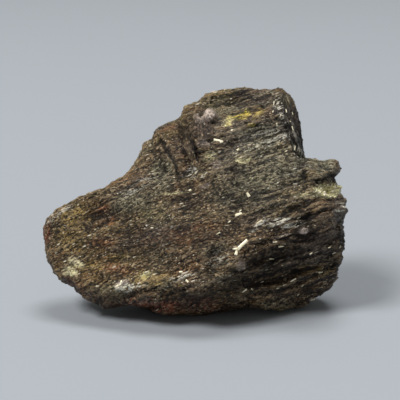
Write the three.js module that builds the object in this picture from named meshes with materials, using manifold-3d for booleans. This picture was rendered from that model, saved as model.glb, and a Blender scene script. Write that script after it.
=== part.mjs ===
// A hand-sized piece of rough nuummite, a dark layered amphibole rock, standing on a small flat spot.
// Millimetres, +Z up. The broad broken face looks towards -Y, and the origin is on the ground
// under the middle of the stone.
//
// The stone is first shaped face-on: u runs to the right, w runs up and t runs away from the viewer,
// all from the middle of the broad face's outline. Then it is leaned back and its foot is cut flat.
// Its shape is a rule that tells how far outside the stone any point is. The mesh is laid where
// that distance is zero.
import * as THREE from "three";
import { ImprovedNoise } from "three/addons/math/ImprovedNoise.js";
import { mergeVertices } from "three/addons/utils/BufferGeometryUtils.js";
import Module from "manifold-3d";

// Driving dimensions
const LEAN = 15; // degrees that the broad face leans back from upright
const FOOT_LEVEL = -28.3; // height of the flat spot, from the middle of the outline
const CELL = 1.98; // width of the mesh's cells

// The outline face-on, as u and w, clockwise from the left tip
const OUTLINE = [
  // rounded left lobe and the long slope up from it
  [-46.9, -6], [-46.2, -3], [-44.3, 0.1], [-42.5, 2], [-39.6, 3.4], [-37.2, 4.7], [-33.7, 5.8],
  [-30.8, 7], [-28.2, 7.3], [-26.5, 9.2], [-23.9, 10.4], [-21.7, 12.6], [-20.1, 15.2], [-18.8, 17.9],
  // stepped shoulder
  [-18, 20.6], [-15.8, 21.6], [-15.2, 23.6], [-13.6, 25.1], [-10.1, 26.2], [-7.7, 27.1],
  [-6.9, 29.3], [-6, 31.7], [-2.2, 32.4], [-0.7, 33.8], [2.2, 34.7], [3.6, 36.2],
  // top of the upper block and its steep right side
  [6.4, 37.9], [10.4, 37.8], [13.4, 37.6], [15.4, 36.3], [18.1, 36], [21.7, 35.9], [23, 34.9],
  [25.4, 34.4], [26.1, 31.3], [27.3, 28.4], [28.3, 25.3], [28.7, 20.7], [28.7, 15.6],
  // notch, right lobe and the bite under it
  [30.5, 15.5], [33.1, 14.5], [35.4, 15.2], [38, 16.2], [39, 13.2], [39.2, 10.8], [37.5, 9.6],
  [37.2, 7.4], [38.8, 5.4], [41.1, 4], [41.1, -0.3],
  // right edge, serrated where the layers end
  [39.7, -4.9], [40.3, -6.6], [39.4, -7.8], [40.3, -9.8], [38.5, -12.7], [39.4, -14.4], [38.7, -16.1],
  [38.7, -18.4], [38, -20.4], [36.5, -22.4], [34.8, -24.4], [32.8, -26.2], [30.5, -27.9],
  // bottom edge, back to the left lobe
  [27.9, -28.5], [24.4, -28.5], [20.7, -29], [17.5, -28.5], [12.1, -27.9], [6.9, -27.9], [3.7, -29],
  [0, -30.2], [-4.3, -30.2], [-8.1, -29.8], [-13.2, -29], [-16.4, -28], [-21.6, -27], [-25, -27.3],
  [-28.2, -27.9], [-31.6, -26.7], [-34.2, -25.6], [-36.5, -24.2], [-38.5, -21.9], [-41.4, -20.1],
  [-44, -17], [-46, -12.4], [-46.6, -8.9],
];
// The sides stand in from the outline by least, which leaves room for their roughness, and by amount
// more at the given depth
const EDGE_RECESS = { least: 0.6, amount: 5, depth: 15 };

// Broken faces, as planes: the depth at one point of the outline and how it changes along u and w
const FRONT_FACES = {
  broad: { at: [0, 0], depth: 16.5, slope: [0.03, -0.26] },
  lowerLeft: { at: [-19, -22.5], depth: 20.5, slope: [0.3, 1.05] },
  leftLobe: { at: [-28, -10], depth: 15.4, slope: [0.42, 0] },
  leftSlope: { at: [-30, 1.5], depth: 14.6, slope: [0.3, -0.6] },
  shoulder: { at: [-6, 12], depth: 13.6, slope: [0.36, -0.26] },
  topBevel: { at: [10, 28], depth: 9.6, slope: [0.04, -1.1] },
  rightEdge: { at: [36, 0], depth: 15.5, slope: [-1.1, 0.05] },
};
// The dark undercut below the ridge is two faces that meet in a hollow corner: the stone reaches as
// far as either of them
const UNDERCUT_FACES = {
  right: { at: [12.9, -8.9], depth: 19.2, slope: [-0.34, 0.8] },
  left: { at: [12.9, -8.9], depth: 19.2, slope: [-0.7, 0.55] },
};
const BACK_FACES = {
  broad: { at: [0, 0], depth: 17, slope: [-0.05, -0.12] },
  upper: { at: [5, 20], depth: 13.5, slope: [0.1, -0.7] },
  left: { at: [-22, -6], depth: 15, slope: [0.5, 0.1] },
  right: { at: [26, 0], depth: 14.5, slope: [-0.75, -0.15] },
  lower: { at: [4, -19], depth: 16, slope: [-0.05, 0.75] },
  lowerLeft: { at: [-18, -18], depth: 14.5, slope: [0.35, 0.8] },
};
const FACE_BLEND = 0.45; // millimetres over which two faces round into each other

// The glittering facet on the right of the upper block, which ends at the notch
const BLOCK_FACET = { at: [19.3, 31.6, -8.9], outward: [0.7, 0.515, -0.51], lowest: 15.5 };

// Steps, each along a line from one point to another: the side to the left of the line, looking
// along it, stands back by drop (for a negative drop, the side to the right), over a band of the
// given width. The face comes up again beyond the reach, and the ends fade out
const FRONT_STEPS = {
  topLedge: { from: [-2, 28.4], to: [20.5, 31.6], drop: 2.8, width: 2, reach: 14, fade: 3 },
  lowerTopLedge: { from: [2, 24.2], to: [19, 28], drop: 2, width: 2, reach: 12, fade: 3 },
  lobeCrease: { from: [29.4, 17], to: [28, 6], drop: -2.4, width: 2, reach: 16, fade: 3 },
  lobeUnderside: { from: [40, 9.9], to: [30.5, 6.8], drop: 1.4, width: 2, reach: 7, fade: 2 },
  darkGap: { from: [40, -0.6], to: [16, -4.4], drop: 1.6, width: 2, reach: 8, fade: 5 },
  shoulderCrack: { from: [-8.5, 9], to: [-15, 25], drop: 2.6, width: 2, reach: 9, fade: 4 },
  shoulderRib: { from: [-2.5, 8], to: [-6, 28], drop: 2.4, width: 2, reach: 8, fade: 4 },
  lobeLip: { from: [-34, -5.6], to: [-22, -2], drop: 1.5, width: 2, reach: 7, fade: 4 },
};
const BACK_STEPS = {
  longLedge: { from: [-34, -9], to: [34, 11], drop: 3.2, width: 2.4, reach: 18, fade: 5 },
  upperLedge: { from: [-10, 17], to: [24, 25], drop: 2.4, width: 2.2, reach: 12, fade: 5 },
  lowerLedge: { from: [34, -7], to: [-16, -20], drop: 2.6, width: 2.2, reach: 14, fade: 5 },
};

// Layering and roughness of the broken surface
// Broken layers: their rise across the broad face in degrees, their drop for each millimetre away
// from the viewer, their middle thickness and the height of their edges, which fades to the given
// share on the left lobe
const LAYERS = { rise: 17, dip: 0.35, thickness: 5.2, step: 1.1, leftShare: 0.3 };
const CHIPS = { size: 8.5, tilt: 0.26, height: 0.5, blend: 5 }; // flat facets, each tilted its own way
const LUMPS = { size: 17, height: 1.8 };
const EDGE_CALM = 0.3; // share of the roughness left at the outline, which holds its own steps

const noise = new ImprovedNoise();

// Smooth step from 0 at low to 1 at high
function ramp(value, low, high) {
  return THREE.MathUtils.smoothstep(value, low, high);
}

// The highest of some values, rounded where the two highest meet
function roundedMax(values, blend) {
  const highest = Math.max(...values);
  return highest + blend * Math.log(values.reduce((sum, v) => sum + Math.exp((v - highest) / blend), 0));
}

// How far outside the outline a point is, face-on. Inside it is negative
function beyondOutline(u, w) {
  let inside = false;
  let nearest = Infinity;
  OUTLINE.forEach(([u0, w0], i) => {
    const [u1, w1] = OUTLINE[(i + 1) % OUTLINE.length];
    const share = ((u - u0) * (u1 - u0) + (w - w0) * (w1 - w0)) / ((u1 - u0) ** 2 + (w1 - w0) ** 2);
    const along = THREE.MathUtils.clamp(share, 0, 1);
    nearest = Math.min(nearest, Math.hypot(u - u0 - along * (u1 - u0), w - w0 - along * (w1 - w0)));
    if (w0 > w !== w1 > w && u < u0 + ((u1 - u0) * (w - w0)) / (w1 - w0)) inside = !inside;
  });
  return inside ? -nearest : nearest;
}

// How far back all of some steps together take a face at a point
function stepBack(steps, u, w) {
  let total = 0;
  for (const { from, to, drop, width, reach, fade } of Object.values(steps)) {
    const length = Math.hypot(to[0] - from[0], to[1] - from[1]);
    const along = [(to[0] - from[0]) / length, (to[1] - from[1]) / length];
    const distanceAlong = (u - from[0]) * along[0] + (w - from[1]) * along[1];
    const distanceLeft = along[0] * (w - from[1]) - along[1] * (u - from[0]);
    const side = Math.sign(drop) * distanceLeft;
    const started = ramp(distanceAlong, -fade, fade);
    const ended = ramp(distanceAlong, length - fade, length + fade);
    const stepped = ramp(side, -width / 2, width / 2) * (1 - ramp(side, width, reach));
    total += Math.abs(drop) * started * (1 - ended) * stepped;
  }
  return total;
}

// How far a point at a distance from the outline's plane is above some faces
function aboveFaces(faces, steps, distance, u, w) {
  const back = stepBack(steps, u, w);
  return Object.values(faces).map(
    ({ at, depth, slope }) => distance + back - depth - slope[0] * (u - at[0]) - slope[1] * (w - at[1]),
  );
}

// A repeatable number from -1 to 1 for the cell of space at i, j, k
function cellNumber(i, j, k, kind) {
  const mixed = Math.sin(i * 127.1 + j * 311.7 + k * 74.7 + kind * 53.3) * 43758.5453;
  return 2 * (mixed - Math.floor(mixed)) - 1;
}

// Small flat facets: space is split into irregular cells, and each tilts the surface its own way
function chips(u, w, t) {
  const [i, j, k] = [u, w, t].map((value) => Math.floor(value / CHIPS.size));
  let total = 0;
  let weights = 0;
  for (let n = 0; n < 27; n++) {
    const cell = [i + (n % 3) - 1, j + (Math.floor(n / 3) % 3) - 1, k + Math.floor(n / 9) - 1];
    const centre = cell.map((c, kind) => (c + 0.5 + 0.42 * cellNumber(...cell, kind)) * CHIPS.size);
    const offset = [u - centre[0], w - centre[1], t - centre[2]];
    const tilt = offset.reduce((sum, o, axis) => sum + o * cellNumber(...cell, 3 + axis), 0);
    const weight = Math.exp((-CHIPS.blend * Math.hypot(...offset) ** 2) / CHIPS.size ** 2);
    total += weight * (CHIPS.tilt * tilt + CHIPS.height * cellNumber(...cell, 6));
    weights += weight;
  }
  return total / weights;
}

// How far the surface stands out at a point: broken layers, broad lumps and chips
function roughness(u, w, t) {
  const rise = THREE.MathUtils.degToRad(LAYERS.rise);
  const across = w * Math.cos(rise) - u * Math.sin(rise) + t * LAYERS.dip;
  const waviness = 3 * noise.noise(u / 24, t / 24, w / 24) + 3.6 * noise.noise(3.7, 5.1, across / 9);
  const layer = (across + waviness) / LAYERS.thickness;
  const within = layer - Math.floor(layer);
  const patches = Math.max(0, 0.45 + 1.4 * noise.noise(u / 13 + 7, t / 13, w / 13));
  const fade = LAYERS.leftShare + (1 - LAYERS.leftShare) * ramp(u, -25, 25);
  const layers = LAYERS.step * patches * fade * (ramp(within, 0, 0.6) - ramp(within, 0.6, 1) - 0.5);
  const lumps = LUMPS.height * noise.noise(u / LUMPS.size, t / LUMPS.size + 31, w / LUMPS.size);
  return layers + lumps + chips(u, w, t);
}

// How far outside the stone a point is. Inside it is negative
function outsideStone(u, w, t) {
  const recess = EDGE_RECESS.least + EDGE_RECESS.amount * (t / EDGE_RECESS.depth) ** 2;
  const { at, outward, lowest } = BLOCK_FACET;
  const beyondFacet = outward[0] * (u - at[0]) + outward[1] * (w - at[1]) + outward[2] * (t - at[2]);
  const smooth = roundedMax(
    [
      beyondOutline(u, w) + recess,
      beyondFacet - 3 * Math.max(0, lowest - w),
      ...aboveFaces(FRONT_FACES, FRONT_STEPS, -t, u, w),
      Math.min(...aboveFaces(UNDERCUT_FACES, FRONT_STEPS, -t, u, w)),
      ...aboveFaces(BACK_FACES, BACK_STEPS, t, u, w),
    ],
    FACE_BLEND,
  );
  const calm = EDGE_CALM + (1 - EDGE_CALM) * ramp(Math.abs(t), 2, 8);
  return smooth - calm * roughness(u, w, t);
}

// The mesh's cells are turned so that their rows run along the layers. This is the point that is
// a along the layers, b across them and t away from the viewer, as u, w and t
function fromRows(a, b, t) {
  const rise = THREE.MathUtils.degToRad(LAYERS.rise);
  return [a * Math.cos(rise) - b * Math.sin(rise), a * Math.sin(rise) + b * Math.cos(rise), t];
}

function outsideAt(a, b, t) {
  return outsideStone(...fromRows(a, b, t));
}

// The direction in which a point leaves the stone fastest
function outwardAt(a, b, t) {
  const small = 0.15;
  return new THREE.Vector3(
    outsideAt(a + small, b, t) - outsideAt(a - small, b, t),
    outsideAt(a, b + small, t) - outsideAt(a, b - small, t),
    outsideAt(a, b, t + small) - outsideAt(a, b, t - small),
  ).normalize();
}

// The corners of a cell, and its edges as pairs of corners
const CORNERS = [0, 1, 2, 3, 4, 5, 6, 7].map((n) => [n & 1, (n >> 1) & 1, n >> 2]);
const EDGES = [
  [0, 1], [2, 3], [4, 5], [6, 7], [0, 2], [1, 3], [4, 6], [5, 7], [0, 4], [1, 5], [2, 6], [3, 7],
];

// The best point for the mesh in one cell: where the planes at its edges' crossings meet
function pointInCell(corner, values) {
  const crossings = [];
  for (const [a, b] of EDGES) {
    if (values[a] < 0 === values[b] < 0) continue;
    const share = values[a] / (values[a] - values[b]);
    const place = CORNERS[a].map((c, axis) => corner[axis] + CELL * (c + share * (CORNERS[b][axis] - c)));
    crossings.push({ place: new THREE.Vector3(...place), outward: outwardAt(...place) });
  }
  const point = new THREE.Vector3();
  crossings.forEach(({ place }) => point.addScaledVector(place, 1 / crossings.length));
  for (let round = 0; round < 5; round++) {
    const move = new THREE.Vector3();
    for (const { place, outward } of crossings) {
      move.addScaledVector(outward, outward.dot(place.clone().sub(point)) / crossings.length);
    }
    point.addScaledVector(move, 0.8);
  }
  const low = new THREE.Vector3(...corner).addScalar(0.12 * CELL);
  return point.clamp(low, new THREE.Vector3(...corner).addScalar(0.88 * CELL));
}

// Whether a cell's inner corners, or its outer ones, fall apart into two groups
function isSplit(values) {
  const group = CORNERS.map((_, n) => n);
  for (let round = 0; round < 8; round++) {
    for (const [a, b] of EDGES) {
      if (values[a] < 0 === values[b] < 0) group[a] = group[b] = Math.min(group[a], group[b]);
    }
  }
  return new Set(group).size > 2;
}

// The closed mesh of the stone, with one point in each cell that the surface passes through
function stoneMesh() {
  const start = [-54, -44, -26];
  const count = [104, 84, 52].map((size) => Math.ceil(size / CELL));
  const cornerAt = (cell) => cell.map((c, axis) => start[axis] + c * CELL);
  const keyOf = ([i, j, k]) => (k * count[1] + j) * count[0] + i;
  const cells = [];
  for (let n = 0; n < count[0] * count[1] * count[2]; n++) {
    cells.push([n % count[0], Math.floor(n / count[0]) % count[1], Math.floor(n / count[0] / count[1])]);
  }
  const values = cells.map((cell) => outsideAt(...cornerAt(cell)));
  const inner = cells.filter((cell) => cell.every((c, axis) => c > 0 && c < count[axis] - 1));
  const cornerKeys = (cell) => CORNERS.map((c) => keyOf(cell.map((index, axis) => index + c[axis])));

  // fill narrow gaps, where a cell's one point would have to join two sheets of surface
  for (let splits = 1; splits > 0; ) {
    splits = 0;
    for (const keys of inner.map(cornerKeys)) {
      if (!isSplit(keys.map((key) => values[key]))) continue;
      const outer = keys.filter((key) => values[key] >= 0);
      const nearest = outer.reduce((best, key) => (values[key] < values[best] ? key : best));
      values[nearest] = -0.01;
      splits++;
    }
  }

  const positions = [];
  const vertexOf = new Map();
  for (const cell of inner) {
    const around = cornerKeys(cell).map((key) => values[key]);
    if (around.every((v) => v < 0) || around.every((v) => v >= 0)) continue;
    const [u, w, t] = fromRows(...pointInCell(cornerAt(cell), around).toArray());
    vertexOf.set(keyOf(cell), positions.length / 3);
    positions.push(u, t, w);
  }

  const triangles = [];
  for (const cell of inner) {
    for (let axis = 0; axis < 3; axis++) {
      const next = cell.map((c, a) => c + (a === axis ? 1 : 0));
      const leaves = values[keyOf(cell)] < 0;
      if (leaves === values[keyOf(next)] < 0) continue;
      const [side, up] = [(axis + 1) % 3, (axis + 2) % 3];
      const ring = [[0, 0], [-1, 0], [-1, -1], [0, -1]].map(([s, v]) =>
        vertexOf.get(keyOf(cell.map((c, a) => c + (a === side ? s : 0) + (a === up ? v : 0)))),
      );
      if (leaves) ring.reverse();
      triangles.push(ring[0], ring[1], ring[2], ring[0], ring[2], ring[3]);
    }
  }
  const geometry = new THREE.BufferGeometry();
  geometry.setAttribute("position", new THREE.Float32BufferAttribute(positions, 3));
  geometry.setIndex(triangles);
  return geometry;
}

// A closed geometry as a solid that can be cut, and the way back
function toSolid(wasm, geometry) {
  const bare = geometry.clone();
  bare.deleteAttribute("normal");
  bare.deleteAttribute("uv");
  const merged = mergeVertices(bare, 1e-4);
  return new wasm.Manifold(
    new wasm.Mesh({
      numProp: 3,
      vertProperties: merged.attributes.position.array,
      triVerts: new Uint32Array(merged.index.array),
    }),
  );
}

function toGeometry(solid) {
  const mesh = solid.getMesh();
  const geometry = new THREE.BufferGeometry();
  geometry.setAttribute("position", new THREE.BufferAttribute(mesh.vertProperties, 3));
  geometry.setIndex(new THREE.BufferAttribute(mesh.triVerts, 1));
  return geometry;
}

// Cuts off what is below the foot, and puts the flat spot at z = 0 under the middle of the stone
async function standOnFoot(geometry) {
  const wasm = await Module();
  wasm.setup();
  const groundSize = 300;
  const ground = new THREE.BoxGeometry(groundSize, groundSize, groundSize);
  ground.translate(0, 0, FOOT_LEVEL - groundSize / 2);
  const standing = toGeometry(toSolid(wasm, geometry).subtract(toSolid(wasm, ground)));
  standing.computeBoundingBox();
  const { min, max } = standing.boundingBox;
  standing.translate(-(min.x + max.x) / 2, -(min.y + max.y) / 2, -min.z);
  standing.computeVertexNormals();
  return standing;
}

const shaped = stoneMesh();
shaped.rotateX(-THREE.MathUtils.degToRad(LEAN));

const rock = new THREE.MeshStandardMaterial({ color: 0x4a4238, roughness: 0.55, metalness: 0.1 });
const stone = new THREE.Mesh(await standOnFoot(shaped), rock);
stone.name = "nuummite";

const part = new THREE.Group();
part.add(stone);

export default part;
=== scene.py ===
# %% [markdown]
# # A rough piece of nuummite
#
# Nuummite is a very old, nearly black rock. It is made of thin needles and blades of two amphibole
# minerals, which lie in layers, and where it is broken it glitters brown, grey, olive and gold.
# This lesson dresses one rough piece of it, nearly nine centimetres long. The solid comes in from
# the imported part. Over it goes a much finer broken surface with its finish, then the small
# crystals that stick out of it, and last the floor and the light.

import math

import bpy
import numpy as np
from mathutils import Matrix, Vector
from mathutils.bvhtree import BVHTree


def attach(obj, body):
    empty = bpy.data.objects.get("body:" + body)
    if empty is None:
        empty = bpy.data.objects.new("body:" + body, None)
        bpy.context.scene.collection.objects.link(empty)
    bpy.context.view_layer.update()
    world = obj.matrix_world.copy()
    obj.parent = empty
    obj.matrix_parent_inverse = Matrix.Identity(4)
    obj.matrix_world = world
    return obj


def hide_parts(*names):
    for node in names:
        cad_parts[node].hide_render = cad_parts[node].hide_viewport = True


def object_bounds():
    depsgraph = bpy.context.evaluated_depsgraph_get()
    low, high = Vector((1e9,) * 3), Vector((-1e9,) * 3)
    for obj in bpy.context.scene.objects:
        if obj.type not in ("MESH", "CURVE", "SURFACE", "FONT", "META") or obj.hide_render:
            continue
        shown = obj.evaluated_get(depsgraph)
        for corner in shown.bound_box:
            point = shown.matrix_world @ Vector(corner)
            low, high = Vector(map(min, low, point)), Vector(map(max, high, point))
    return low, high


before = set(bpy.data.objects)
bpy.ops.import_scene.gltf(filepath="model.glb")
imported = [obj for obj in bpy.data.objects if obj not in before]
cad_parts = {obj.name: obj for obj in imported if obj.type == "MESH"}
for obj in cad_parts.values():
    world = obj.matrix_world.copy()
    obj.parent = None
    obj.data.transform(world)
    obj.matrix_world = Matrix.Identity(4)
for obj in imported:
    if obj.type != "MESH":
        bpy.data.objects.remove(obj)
cad_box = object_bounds()
scene = bpy.context.scene
print("the packed stone's box in metres:", [list(corner) for corner in cad_box])

# %% [markdown]
# ## Three directions on the stone
#
# The broad broken face leans back from upright. It is easier to place a crack or a crystal on it
# with directions of its own: right, up along the face, and away through the stone. The middle is
# the point that all three are measured from.

# %% The broad face's own directions
MILLIMETRES = 1000  # in a metre
LEAN = math.radians(15)
MIDDLE = Vector((3.035, 3.834, 28.3)) / MILLIMETRES
RIGHT = Vector((1, 0, 0))
UP = Vector((0, math.sin(LEAN), math.cos(LEAN)))
AWAY = Vector((0, math.cos(LEAN), -math.sin(LEAN)))
print("up along the broad face:", [round(part, 3) for part in UP])

# %% [markdown]
# ## The camera comes first
#
# The camera looks straight at the broad face from 36 centimetres, where one pixel covers 0.2876 mm.
# Cracks, patches and crystals are then named by where they are seen in a picture of 400 by 400
# pixels, and a ray from the camera finds their place on the stone.

# %% Camera
PICTURE = 400
PIXEL = 0.2876 / MILLIMETRES
VIEW_DISTANCE = 0.36
SENSOR = 36  # millimetres
MIDDLE_SEEN_AT = (205, 212)


def new_object(name, data):
    """An object in the scene, made of its data."""
    made = bpy.data.objects.new(name, data)
    scene.collection.objects.link(made)
    return made


def on_plane(x, y):
    """The point that is seen at a picture point, as far away as the stone's middle."""
    right = x - MIDDLE_SEEN_AT[0]
    up = MIDDLE_SEEN_AT[1] - y
    return MIDDLE + RIGHT * right * PIXEL + UP * up * PIXEL


camera_data = bpy.data.cameras.new("camera")
camera_data.sensor_width = SENSOR
camera_data.lens = SENSOR * VIEW_DISTANCE / (PICTURE * PIXEL)
camera = new_object("camera", camera_data)
aim = on_plane(PICTURE / 2, PICTURE / 2)
camera.location = aim - AWAY * VIEW_DISTANCE
camera.rotation_euler = AWAY.to_track_quat("-Z", "Y").to_euler()
scene.camera = camera


def seen_at(points):
    """Where points, in metres, are seen in the picture, as pixels from its top left corner."""
    offset = points - np.array(camera.location)
    depth = offset @ np.array(AWAY)
    x = PICTURE / 2 + offset @ np.array(RIGHT) / depth * VIEW_DISTANCE / PIXEL
    y = PICTURE / 2 - offset @ np.array(UP) / depth * VIEW_DISTANCE / PIXEL
    return np.stack([x, y], axis=1)


print("lens:", round(camera_data.lens, 1), "mm")

# %% [markdown]
# ## A fine skin over the solid
#
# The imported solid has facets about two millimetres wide, far coarser than the grain of the rock. A
# voxel remesh lays an even net of small squares over it. A subdivision surface would also be finer,
# but it keeps the long thin triangles, which show as streaks.

# %% Even net over the stone
VOXEL = 0.00044
WELD_DISTANCE = 0.00001

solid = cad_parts["nuummite"]
skin = new_object("stone_surface", solid.data.copy())
weld = skin.modifiers.new("weld", "WELD")
weld.merge_threshold = WELD_DISTANCE
remesh = skin.modifiers.new("even net", "REMESH")
remesh.mode = "VOXEL"
remesh.voxel_size = VOXEL

bpy.context.view_layer.update()
evaluated = skin.evaluated_get(bpy.context.evaluated_depsgraph_get())
fine_mesh = bpy.data.meshes.new_from_object(evaluated)
skin.modifiers.clear()
skin.data = fine_mesh
skin.data.name = "stone_surface"
print("points in the net:", len(fine_mesh.vertices), "squares:", len(fine_mesh.polygons))

# %% [markdown]
# ## Melting the facets away
#
# Each point of the net has neighbours that edges join it to. Averaging each point with them a few
# times melts the facets away and keeps the lobes, the ledges and the notch. The same averages tell
# later which points lie lower than their surroundings.

# %% Averages between neighbouring points
MELTING_ROUNDS = 5


def triples(items, kind):
    """Three numbers for each point or normal of a mesh, one row for each."""
    flat = np.empty(len(items) * 3)
    items.foreach_get(kind, flat)
    return flat.reshape(-1, 3)


def write_points(mesh, points):
    """Moves the points of a mesh to new places."""
    mesh.vertices.foreach_set("co", points.ravel())
    mesh.update()


links = np.empty(len(fine_mesh.edges) * 2, dtype=np.int64)
fine_mesh.edges.foreach_get("vertices", links)
starts = np.concatenate([links[0::2], links[1::2]])
ends = np.concatenate([links[1::2], links[0::2]])
neighbours = np.bincount(starts, minlength=len(fine_mesh.vertices))


def spread(values, rounds):
    """Averages each point's value with its neighbours' values, several times over."""
    for _ in range(rounds):
        totals = np.bincount(starts, weights=values[ends], minlength=len(values))
        values = 0.5 * values + 0.5 * totals / neighbours
    return values


def spread_places(places, rounds):
    """Averages all three coordinates of the points' places."""
    return np.stack([spread(places[:, axis], rounds) for axis in range(3)], axis=1)


points = spread_places(triples(fine_mesh.vertices, "co"), MELTING_ROUNDS)
write_points(fine_mesh, points)
print("neighbours of a point, on average:", round(neighbours.mean(), 2))

# %% [markdown]
# ## Numbers that look random
#
# Rock is irregular, but the script has to give the same stone each time. So no random numbers are
# drawn: each whole-numbered point of space gets a number that is worked out from its place. Soft
# noise blends these numbers, and cells split space into grains, each with its own tilt.


# %% Repeatable noise
def mixed(x, y, z, seed):
    """A number from 0 to 1 for each whole-numbered point of space."""
    # the large odd numbers only scatter the bits
    bits = (x * 374761393 + y * 668265263 + z * 1442695041 + seed * 974634777) & 0xFFFFFFFF
    bits = ((bits ^ (bits >> 13)) * 1274126177) & 0xFFFFFFFF
    bits = ((bits ^ (bits >> 15)) * 748720997) & 0xFFFFFFFF
    return ((bits ^ (bits >> 16)) & 0xFFFFFF) / 0xFFFFFF


def soft_noise(places, seed):
    """Smooth numbers from -1 to 1, with bumps about one unit wide."""
    corner = np.floor(places).astype(np.int64)
    share = places - corner
    share = share * share * (3 - 2 * share)
    total = np.zeros(len(places))
    for step in np.ndindex(2, 2, 2):
        weight = np.prod(np.where(step, share, 1 - share), axis=1)
        total += weight * mixed(*(corner + step).T, seed)
    return 2 * total - 1


def grains(places, seed):
    """The three numbers of each place's grain, from 0 to 1, and its way from the grain's middle."""
    corner = np.floor(places).astype(np.int64)
    nearest = np.full(len(places), np.inf)
    numbers = np.zeros_like(places)
    offsets = np.zeros_like(places)
    for step in np.ndindex(3, 3, 3):
        cell = corner + np.array(step) - 1
        middle = cell + np.stack([mixed(*cell.T, seed + axis) for axis in range(3)], axis=1)
        offset = places - middle
        distance = (offset**2).sum(axis=1)
        closer = distance < nearest
        nearest[closer] = distance[closer]
        offsets[closer] = offset[closer]
        own = np.stack([mixed(*cell[closer].T, seed + 7 + axis) for axis in range(3)], axis=1)
        numbers[closer] = own
    return numbers, offsets


def ramp(values, low, high):
    """Rises smoothly from 0 at low to 1 at high."""
    share = np.clip((values - low) / (high - low), 0, 1)
    return share * share * (3 - 2 * share)


print("the same three numbers each time:", [round(mixed(x, 2, 3, 4), 3) for x in range(3)])

# %% [markdown]
# ## Places measured along the layers
#
# The layers of this rock climb about 17 degrees to the right across the broad face, and sink as
# they run away through the stone. Each point's place is worked out along the layers, through the
# stone and across the layers, in millimetres. Noise that is long in the first and short in the
# last looks like layered rock.

# %% Along, through and across the layers
RISE = math.radians(17)
DIP = 0.35


def layered(points):
    """Places in millimetres: along the layers, away from the viewer, across the layers."""
    offset = (points - np.array(MIDDLE)) * MILLIMETRES
    right, up, away = (offset @ np.array(direction) for direction in (RIGHT, UP, AWAY))
    along = right * math.cos(RISE) + up * math.sin(RISE)
    across = up * math.cos(RISE) - right * math.sin(RISE) + DIP * away
    return np.stack([along, away, across], axis=1)


def normals_of(mesh):
    """Where the surface faces at each point of a mesh."""
    return triples(mesh.vertex_normals, "vector")


places = layered(points)
picture = seen_at(points)
towards_camera = -(normals_of(fine_mesh) @ np.array(AWAY))
# 1 on the broad face, 0 on the sides and the back
in_front = ramp(towards_camera, -0.1, 0.12) * ramp(-places[:, 1], -4, 1)
print("points on the broad face:", int((in_front > 0.5).sum()), "of", len(points))

# %% [markdown]
# ## Patches that are named by where they are seen
#
# Many features have places of their own on the broad face. Each is an oval in the picture: its
# middle, half its length and half its width in pixels, its rise in degrees, and its strength. Noise
# breaks up the edges, so that no oval shows.

# %% Ovals with ragged edges
CALMER_BELOW = 11  # pixels: an oval with a smaller half width has a calmer edge


def wander(size, reach, seed):
    """Soft noise for both ways of the picture: its bumps' size in mm and its reach in pixels."""
    return reach * np.stack([soft_noise(places / size, seed + way) for way in (0, 1)], axis=1)


ragged = wander(2.4, 4, 41) + wander(0.9, 2.5, 43)


def ovals(patches):
    """The strongest of some patches at each point of the stone."""
    strongest = np.zeros(len(places))
    for x, y, length, width, rise, strength in patches:
        offset = picture + ragged * min(1, width / CALMER_BELOW) - (x, y)
        turn = math.radians(rise)
        along = offset[:, 0] * math.cos(turn) - offset[:, 1] * math.sin(turn)
        across = offset[:, 0] * math.sin(turn) + offset[:, 1] * math.cos(turn)
        inside = ramp(-np.hypot(along / length, across / width), -1.35, -0.4)
        strongest = np.maximum(strongest, strength * inside * in_front)
    return strongest


print("the edges of ovals wander by up to", round(np.abs(ragged).max(), 1), "pixels")

# %% [markdown]
# ## Where the rock is torn, and where it is smooth
#
# The left lobe of this stone is finely grained and almost smooth. The upper block, the shoulder,
# the right side and the dark undercut face are torn along the layers. On the shoulder, and on the
# dark facet at the right of the upper block, the needles stand nearly upright: there the places
# along and across the layers change roles.

# %% Masks for the kinds of surface
TORN = [
    (245, 112, 55, 28, 8, 0.7), (188, 144, 26, 11, 112, 0.9), (300, 200, 50, 30, 15, 0.7),
    (295, 265, 62, 34, 20, 1.0), (170, 302, 90, 12, 0, 0.5), (320, 170, 24, 14, 15, 0.5),
    (240, 165, 40, 20, 12, 0.45),
]
UPRIGHT = [(188, 144, 26, 9, 112, 1.0), (203, 124, 18, 12, 100, 1.0), (294, 124, 38, 9, 103, 1.0)]

patchy = 0.5 + 0.5 * soft_noise(places / 9, 11)
# the sides and the back are torn in large soft patches
torn = np.maximum(ovals(TORN), 0.15 + 0.6 * patchy * (1 - in_front))
upright = (ovals(UPRIGHT) > 0.5)[:, None]
fibres = np.where(upright, places[:, [2, 1, 0]] * (1, 1, -1), places)
print("torn:", round(100 * (torn > 0.5).mean()), "percent of the stone")

# %% [markdown]
# ## The broken surface
#
# Four kinds of relief are added up, all in millimetres. Plates are pieces of broken layers: long
# and flat, of four sizes, each with a height and a tilt of its own. Soft swells shape the smoother
# places. Facets are grains of any direction, and pits are where a grain fell out. Continuous waves
# would be simpler, but they look like bark.

# %% Relief of the broken rock
# length, thickness and height in millimetres, seed, and how much is left where the rock is smooth
PLATES = [
    (13, 2.8, 1.7, 21, 0.0), (6.5, 1.5, 0.95, 22, 0.28),
    (3.2, 0.8, 0.42, 23, 0.65), (1.7, 0.6, 0.16, 26, 1.0),
]
SWELL = 0.2
PIT_DEPTH = 0.35


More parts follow.
